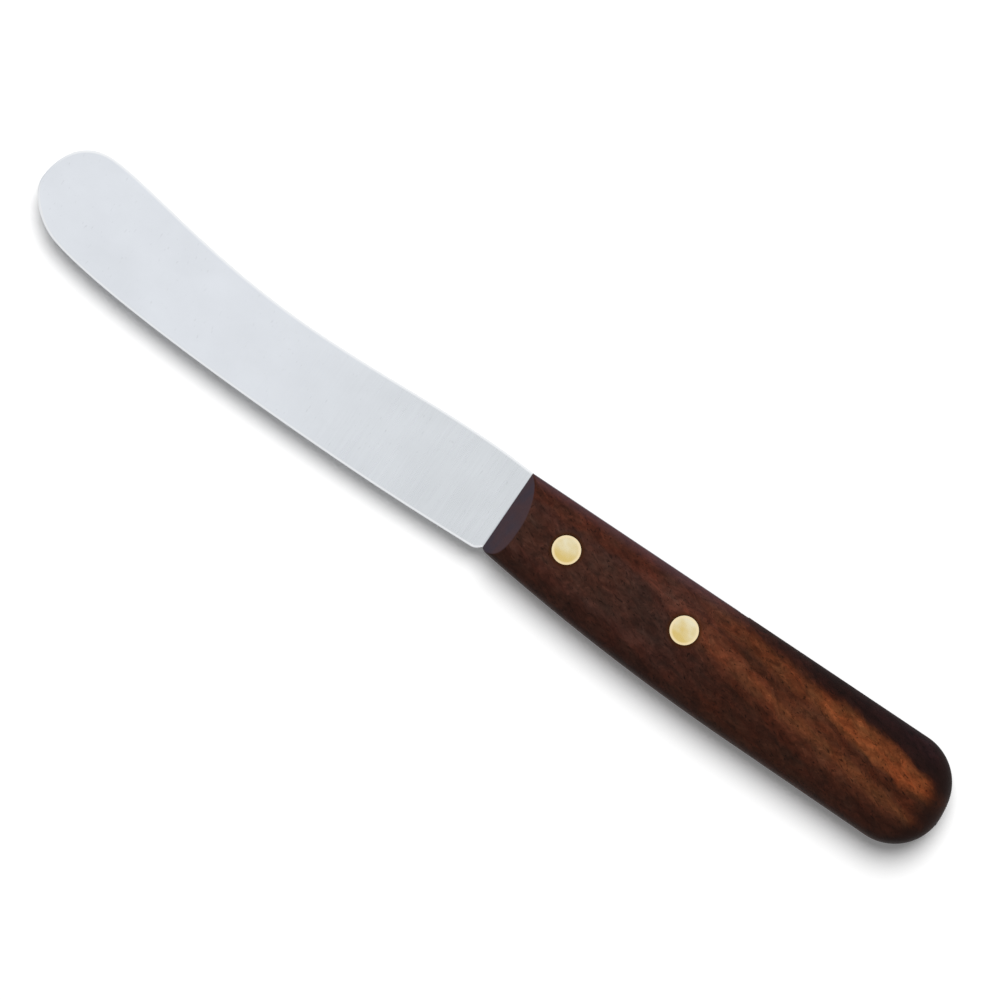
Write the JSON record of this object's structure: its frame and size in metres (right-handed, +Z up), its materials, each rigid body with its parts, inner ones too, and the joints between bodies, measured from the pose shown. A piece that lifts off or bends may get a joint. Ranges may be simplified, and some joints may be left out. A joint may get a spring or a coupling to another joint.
{
  "type": "butter knife",
  "caption": "Butter knife with a broad round-tipped steel blade, whose flat tang sits in a saw cut of a wooden handle and is held by flush brass rivets.",
  "frame": {"origin": "middle of the knife's box in X and Y, on the surface that the handle lies on", "axes": "+X from the tip of the blade to the butt of the handle, +Y from the cutting edge to the back, +Z up through the thickness"},
  "size_m": [0.2256, 0.0276, 0.0122],
  "materials": {
    "blade_steel": "satin ground, with fine lines across the blade",
    "handle_wood": "dark hardwood, sanded and oiled",
    "rivet_brass": "brass, ground flush with the wood"
  },
  "bodies": {
    "root": {"blade": "blade_steel", "handle": "handle_wood", "front_rivet_tube": "rivet_brass", "front_rivet_post": "rivet_brass", "rear_rivet_tube": "rivet_brass", "rear_rivet_post": "rivet_brass"}
  },
  "joints": []
}
